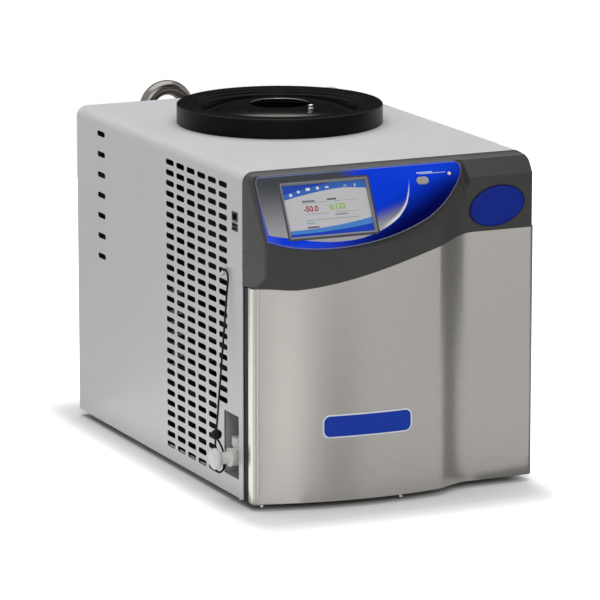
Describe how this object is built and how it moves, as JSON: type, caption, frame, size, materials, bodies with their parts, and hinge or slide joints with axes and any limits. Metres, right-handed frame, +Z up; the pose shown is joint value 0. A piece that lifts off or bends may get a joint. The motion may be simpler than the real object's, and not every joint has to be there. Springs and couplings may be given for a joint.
{
  "type": "freeze dryer",
  "caption": "Benchtop freeze dryer: vented cabinet with bowed steel front, leaning touch-screen housing, sealed cold trap chamber on top, side drain and rear vacuum tube.",
  "frame": {"origin": "under the middle of the bounding box, at the level of the undersides of the four feet", "axes": "+Z up; the control screen and steel front face -Y, the vacuum tube and mains inlet +Y; +X to the right seen from the front, so the vents and drain are at -X"},
  "size_m": [0.394, 0.6038, 0.4286],
  "materials": {
    "pale_paint": "satin powder coat",
    "dark_paint": "satin powder coat",
    "zinc_sheet": "matt plated sheet",
    "front_steel": "fine vertical brushing",
    "polished_steel": "polished",
    "housing_plastic": "fine texture",
    "blue_lens": "gloss",
    "silver_plastic": "satin",
    "display": "glossy film",
    "grey_button": "satin",
    "clear_light": "gloss",
    "blue_plate": "satin",
    "black_rubber": "smooth",
    "foam": "closed cell",
    "copper": "drawn copper",
    "black_enamel": "gloss enamel",
    "white_nylon": "moulded",
    "braided_cord": "braid",
    "green_board": "solder mask",
    "black_plastic": "moulded",
    "clear_hose": "translucent"
  },
  "bodies": {
    "casing": {"cabinet_shell": "pale_paint", "base_pan": "zinc_sheet", "rear_panel": "pale_paint", "front_frame": "dark_paint", "steel_front_panel": "front_steel", "blank_plate": "blue_plate", "panel_pin_1": "white_nylon", "panel_pin_2": "white_nylon", "panel_pin_3": "white_nylon", "control_housing": "housing_plastic", "control_overlay": "blue_lens", "screen_frame": "silver_plastic", "touch_screen": "display", "status_light": "clear_light", "oval_badge": "blue_plate", "chamber_ring": "black_rubber", "chamber_seal": "black_rubber", "collector_chamber": "polished_steel", "vapour_baffle": "polished_steel", "baffle_pin": "polished_steel", "chamber_insulation": "foam", "evaporator_coil": "copper", "vacuum_tube": "polished_steel", "hose_sleeve": "black_rubber", "tube_grommet": "black_rubber", "vacuum_sensor": "zinc_sheet", "compressor": "black_enamel", "compressor_grommet_1": "black_rubber", "compressor_grommet_2": "black_rubber", "compressor_grommet_3": "black_rubber", "compressor_grommet_4": "black_rubber", "terminal_cover": "black_plastic", "condenser": "zinc_sheet", "fan_shroud": "zinc_sheet", "fan_bracket": "zinc_sheet", "fan_motor": "black_enamel", "filter_drier": "copper", "capillary_tube": "copper", "suction_line": "copper", "discharge_line": "copper", "drain_pocket": "dark_paint", "drain_elbow": "white_nylon", "drain_hose": "clear_hose", "tether_drop": "braided_cord", "tether_loop": "braided_cord", "tether_ball": "braided_cord", "tether_clip": "white_nylon", "network_port": "black_plastic", "usb_port": "black_plastic", "control_board": "green_board", "power_supply": "zinc_sheet", "power_inlet": "black_plastic", "foot_1": "black_rubber", "foot_2": "black_rubber", "foot_3": "black_rubber", "foot_4": "black_rubber"},
    "button": {"run_button": "grey_button"},
    "plug": {"drain_plug": "white_nylon"},
    "rocker": {"power_switch": "black_plastic"},
    "fan": {"fan_rotor": "black_plastic"}
  },
  "joints": [
    {"name": "run_button_press", "type": "slide", "parent": "casing", "child": "button", "axis": [0, 0.891, -0.454], "range_m": [0, 0.0012], "stiffness_N_per_m": 800, "springref_m": -0.001},
    {"name": "drain_plug_pull", "type": "slide", "parent": "casing", "child": "plug", "axis": [-1, 0, 0], "range_m": [0, 0.014]},
    {"name": "power_switch_rock", "type": "hinge", "parent": "casing", "child": "rocker", "pos_m": [0.137, 0.2679, 0.117], "axis": [1, 0, 0], "range_deg": [0, 16]},
    {"name": "fan_spin", "type": "hinge", "parent": "casing", "child": "fan", "pos_m": [-0.1255, -0.0906, 0.111], "axis": [1, 0, 0], "continuous": true}
  ]
}
